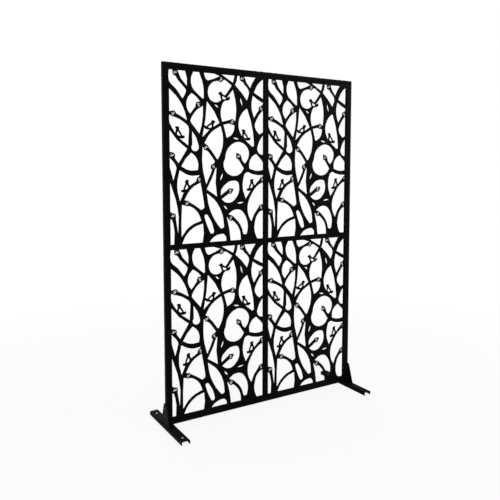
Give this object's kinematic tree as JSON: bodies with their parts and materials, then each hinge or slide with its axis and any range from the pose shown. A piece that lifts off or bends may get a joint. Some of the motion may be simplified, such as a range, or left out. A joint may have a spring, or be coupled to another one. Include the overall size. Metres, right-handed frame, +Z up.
{
  "type": "balcony privacy screen",
  "caption": "Freestanding black metal privacy screen with laser-cut branch panels bolted in a slim tube frame on channel feet with anchor holes.",
  "frame": {"origin": "on the floor, in the middle between the feet", "axes": "+Z up, +X to the right as seen from the front, +Y towards the back; the pierced front faces look along -Y"},
  "size_m": [1.212, 0.41, 1.84],
  "materials": {
    "panel_coat": "black powder coat, satin",
    "frame_coat": "black powder coat, satin",
    "foot_coat": "black powder coat, satin",
    "cap_plastic": "black moulded plastic"
  },
  "bodies": {
    "root": {"lower_left_panel": "panel_coat", "lower_right_panel": "panel_coat", "upper_left_panel": "panel_coat", "upper_right_panel": "panel_coat", "bottom_rail": "frame_coat", "top_rail": "frame_coat", "left_post": "frame_coat", "right_post": "frame_coat", "left_post_cap": "cap_plastic", "right_post_cap": "cap_plastic", "left_foot": "foot_coat", "right_foot": "foot_coat", "left_gusset": "foot_coat", "right_gusset": "foot_coat"}
  },
  "joints": []
}
